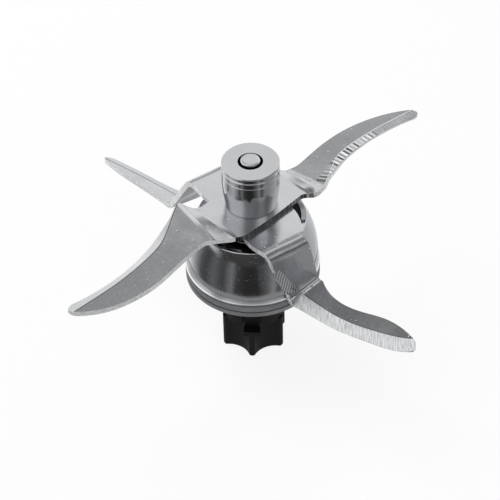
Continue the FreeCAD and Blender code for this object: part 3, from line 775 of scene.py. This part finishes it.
def mark_faces(rows, count):
    """Faces of the closed strip and a shade for each: painted light and shade, paler on one flank of a ridge
    than on the other, with a random tone.
    """
    faces = []
    painted_flank_shades = []
    for row in range(rows):
        shade = MARK_FLANK_PAINTED_SHADE * (scatter(row, 3) + row % 2)
        for column in range(MARK_COLUMNS - 1):
            a = row * MARK_COLUMNS + column
            b = a + MARK_COLUMNS
            faces.append((a, a + 1, b + 1, b))
            faces.append((count + a, count + b, count + b + 1, count + a + 1))
            painted_flank_shades += [shade, shade]
        for column in (0, MARK_COLUMNS - 1):
            a = row * MARK_COLUMNS + column
            b = a + MARK_COLUMNS
            side = (a, b, count + b, count + a)
            faces.append(side if column == 0 else side[::-1])
            painted_flank_shades.append(shade)
    for row in (0, rows):
        for column in range(MARK_COLUMNS - 1):
            a = row * MARK_COLUMNS + column
            end = (a, count + a, count + a + 1, a + 1)
            faces.append(end if row == 0 else end[::-1])
            painted_flank_shades.append(MARK_END_SHADE)
    return faces, painted_flank_shades


def make_grinding_marks():
    rows = int(2 * (MARK_END - MARK_START) / MARK_PITCH)
    tops = mark_tops(rows)
    bottoms = [top - Vector((0, 0, MARK_SINK)) for top in tops]
    faces, painted_flank_shades = mark_faces(rows, len(tops))
    mesh = new_mesh("grinding_marks", tops + bottoms, faces, mark_material())
    attribute = mesh.attributes.new("mark", "FLOAT", "FACE")
    attribute.data.foreach_set("value", painted_flank_shades)
    marks = new_object("grinding_marks", mesh)
    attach(marks, "rotor")


# Break lines

def bevel_breaks(node, degrees):
    """Start, end and upward direction of each CAD edge where one arm's flat meets its bevel."""
    out = Vector(directions(degrees)[0])
    turn = node.matrix_world.to_3x3()
    mesh = bmesh.new()
    mesh.from_mesh(node.data)
    bmesh.ops.remove_doubles(mesh, verts=mesh.verts, dist=SAME_PLACE)
    mesh.normal_update()
    breaks = []
    for edge in mesh.edges:
        if len(edge.link_faces) != 2:
            continue
        first, second = ((turn @ face.normal).normalized() for face in edge.link_faces)
        start, end = (node.matrix_world @ vertex.co for vertex in edge.verts)
        runs_along = abs((end - start).normalized().dot(out)) > BREAK_ALONG
        on_blade = start.dot(out) > LINE_START
        upward_both = min(first.z, second.z) > BREAK_UPWARD
        if runs_along and on_blade and upward_both and first.angle(second) > BREAK_ANGLE:
            breaks.append((start, end, (first + second).normalized()))
    mesh.free()
    return breaks


def make_break_line(name, node_name, degrees, material):
    """A thin box along each edge between flat and bevel."""
    corners = []
    faces = []
    for start, end, up in bevel_breaks(nodes[node_name], degrees):
        side = (end - start).cross(up).normalized() * LINE_WIDTH / 2
        first = len(corners)
        for place in (start, end):
            low = place - up * LINE_SINK
            high = place + up * LINE_HEIGHT
            corners += [low - side, low + side, high + side, high - side]
        for face in BOX_FACES:
            faces.append([first + corner for corner in face])
    line = new_object(name, new_mesh(name, corners, faces, material))
    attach(line, "rotor")


make_grinding_marks()
# The break lines are painted light: a pale painted highlight on the right arm, and painted shade on the other
# arms
highlight_line_material = plain_metal("painted highlight line", (0.93, 0.94, 0.95), roughness=0.30)
shade_line_material = plain_metal("painted shade line", (0.14, 0.145, 0.15), roughness=0.35)
make_break_line("right_break_line", "upper_blade_pair", RIGHT_ARM, highlight_line_material)
make_break_line("left_break_line", "upper_blade_pair", LEFT_ARM, shade_line_material)
make_break_line("front_break_line", "lower_blade_pair", FRONT_ARM, shade_line_material)
make_break_line("far_break_line", "lower_blade_pair", FAR_ARM, shade_line_material)


# Studio

def add_plane(name, height, material):
    bpy.ops.mesh.primitive_plane_add(size=FLOOR_SIZE, location=(0, 0, height))
    plane = bpy.context.object
    plane.name = name
    plane.data.materials.append(material)
    return plane


def make_floor():
    """Pale floor that keeps the object's shadow and shows as the white background."""
    material, tree = empty_material("floor white")
    matt = tree.nodes.new("ShaderNodeBsdfPrincipled")
    feed(tree, matt.inputs["Base Color"], FLOOR_SHADE)
    feed(tree, matt.inputs["Roughness"], FLOOR_ROUGHNESS)
    glow = light_shader(tree, "ShaderNodeEmission", WHITE, 1.0)
    seen = ray_is(tree, "Is Camera Ray", "Is Glossy Ray", "Is Transmission Ray")
    show(tree, mix_shaders(tree, product(tree, seen, FLOOR_GLOW), matt.outputs["BSDF"], glow))
    floor = add_plane("studio_floor", FLOOR_HEIGHT, material)


def make_reflection_card():
    """A shaded card just above the floor that only mirror-like surfaces see."""
    material, tree = empty_material("reflection card")
    place = position(tree)
    turn = math_node(tree, "ARCTAN2", dot(tree, place, TO_RIGHT), dot(tree, place, TO_FRONT))
    stops = [((angle + 180) / 360, shade) for angle, shade in CARD_SHADES]
    around = ramp(tree, map_range(tree, turn, (-math.pi, math.pi)), stops)
    away = map_range(tree, axis_distance(tree), NEAR_RADIUS)
    show(tree, light_shader(tree, "ShaderNodeEmission", mix_shades(tree, away, NEAR_SHADE, around), 1.0))
    card = add_plane("reflection_card", CARD_HEIGHT, material)
    card.visible_camera = False
    card.visible_diffuse = False
    card.visible_shadow = False
    card.visible_transmission = False


def flagged_white(tree):
    """White, darkened towards each flag's direction and towards the dark studio in front."""
    direction = tree.nodes.new("ShaderNodeTexCoord").outputs["Generated"]
    low = map_range(tree, dot(tree, direction, STRAIGHT_UP), FRONT_TOP, (1.0, 0.0))
    ahead = map_range(tree, dot(tree, direction, TO_FRONT), FRONT_SIDES)
    shade = math_node(tree, "SUBTRACT", 1.0, product(tree, low, ahead, 1.0 - FRONT_SHADE))
    for towards, spread, depth in FLAGS:
        closeness = dot(tree, direction, tuple(Vector(towards).normalized()))
        fade = [math.cos(math.radians(spread * share)) for share in FLAG_FADE]
        shade = product(tree, shade, map_range(tree, closeness, fade, (1.0, depth)))
    return shade


def make_world():
    """Soft light for matt surfaces, the flagged studio for mirrors, and white for the camera."""
    world = bpy.data.worlds.new("studio")
    bpy.context.scene.world = world
    world.use_nodes = True
    tree = world.node_tree
    tree.nodes.clear()
    soft = light_shader(tree, "ShaderNodeBackground", WORLD_SHADE, WORLD_STRENGTH)
    mirrored = light_shader(tree, "ShaderNodeBackground", flagged_white(tree), 1.0)
    white = light_shader(tree, "ShaderNodeBackground", WHITE, 1.0)
    lit = mix_shaders(tree, ray_is(tree, "Is Glossy Ray"), soft, mirrored)
    direct = ray_is(tree, "Is Camera Ray", "Is Transmission Ray")
    show(tree, mix_shaders(tree, direct, lit, white), "ShaderNodeOutputWorld")


def add_lamp(name, place, width, power):
    """Square area lamp that no mirror shows."""
    data = bpy.data.lights.new(name, "AREA")
    data.shape = "RECTANGLE"
    data.size = width
    data.size_y = width
    data.energy = power
    lamp = new_object(name, data)
    lamp.location = place
    lamp.rotation_euler = (LAMP_TARGET - Vector(place)).to_track_quat("-Z", "Y").to_euler()
    lamp.visible_glossy = False


def make_camera():
    forward = Vector((0, math.cos(CAMERA_DOWN), -math.sin(CAMERA_DOWN)))
    level_right = Vector((1, 0, 0))
    level_up = level_right.cross(forward)
    right = level_right * math.cos(CAMERA_ROLL) + level_up * math.sin(CAMERA_ROLL)
    up = level_up * math.cos(CAMERA_ROLL) - level_right * math.sin(CAMERA_ROLL)
    data = bpy.data.cameras.new("photo_camera")
    data.sensor_width = CAMERA_SENSOR
    data.sensor_height = CAMERA_SENSOR
    data.sensor_fit = "HORIZONTAL"
    data.lens = CAMERA_LENS
    data.clip_start, data.clip_end = CAMERA_RANGE
    camera = new_object("photo_camera", data)
    turn = Matrix((right, up, -forward)).transposed().to_4x4()
    camera.matrix_world = Matrix.Translation(CAMERA_TARGET - forward * CAMERA_DISTANCE) @ turn
    bpy.context.scene.camera = camera


make_floor()
make_world()
for lamp in LAMPS:
    add_lamp(*lamp)
make_reflection_card()
make_camera()
bpy.context.scene.view_settings.view_transform = "Standard"
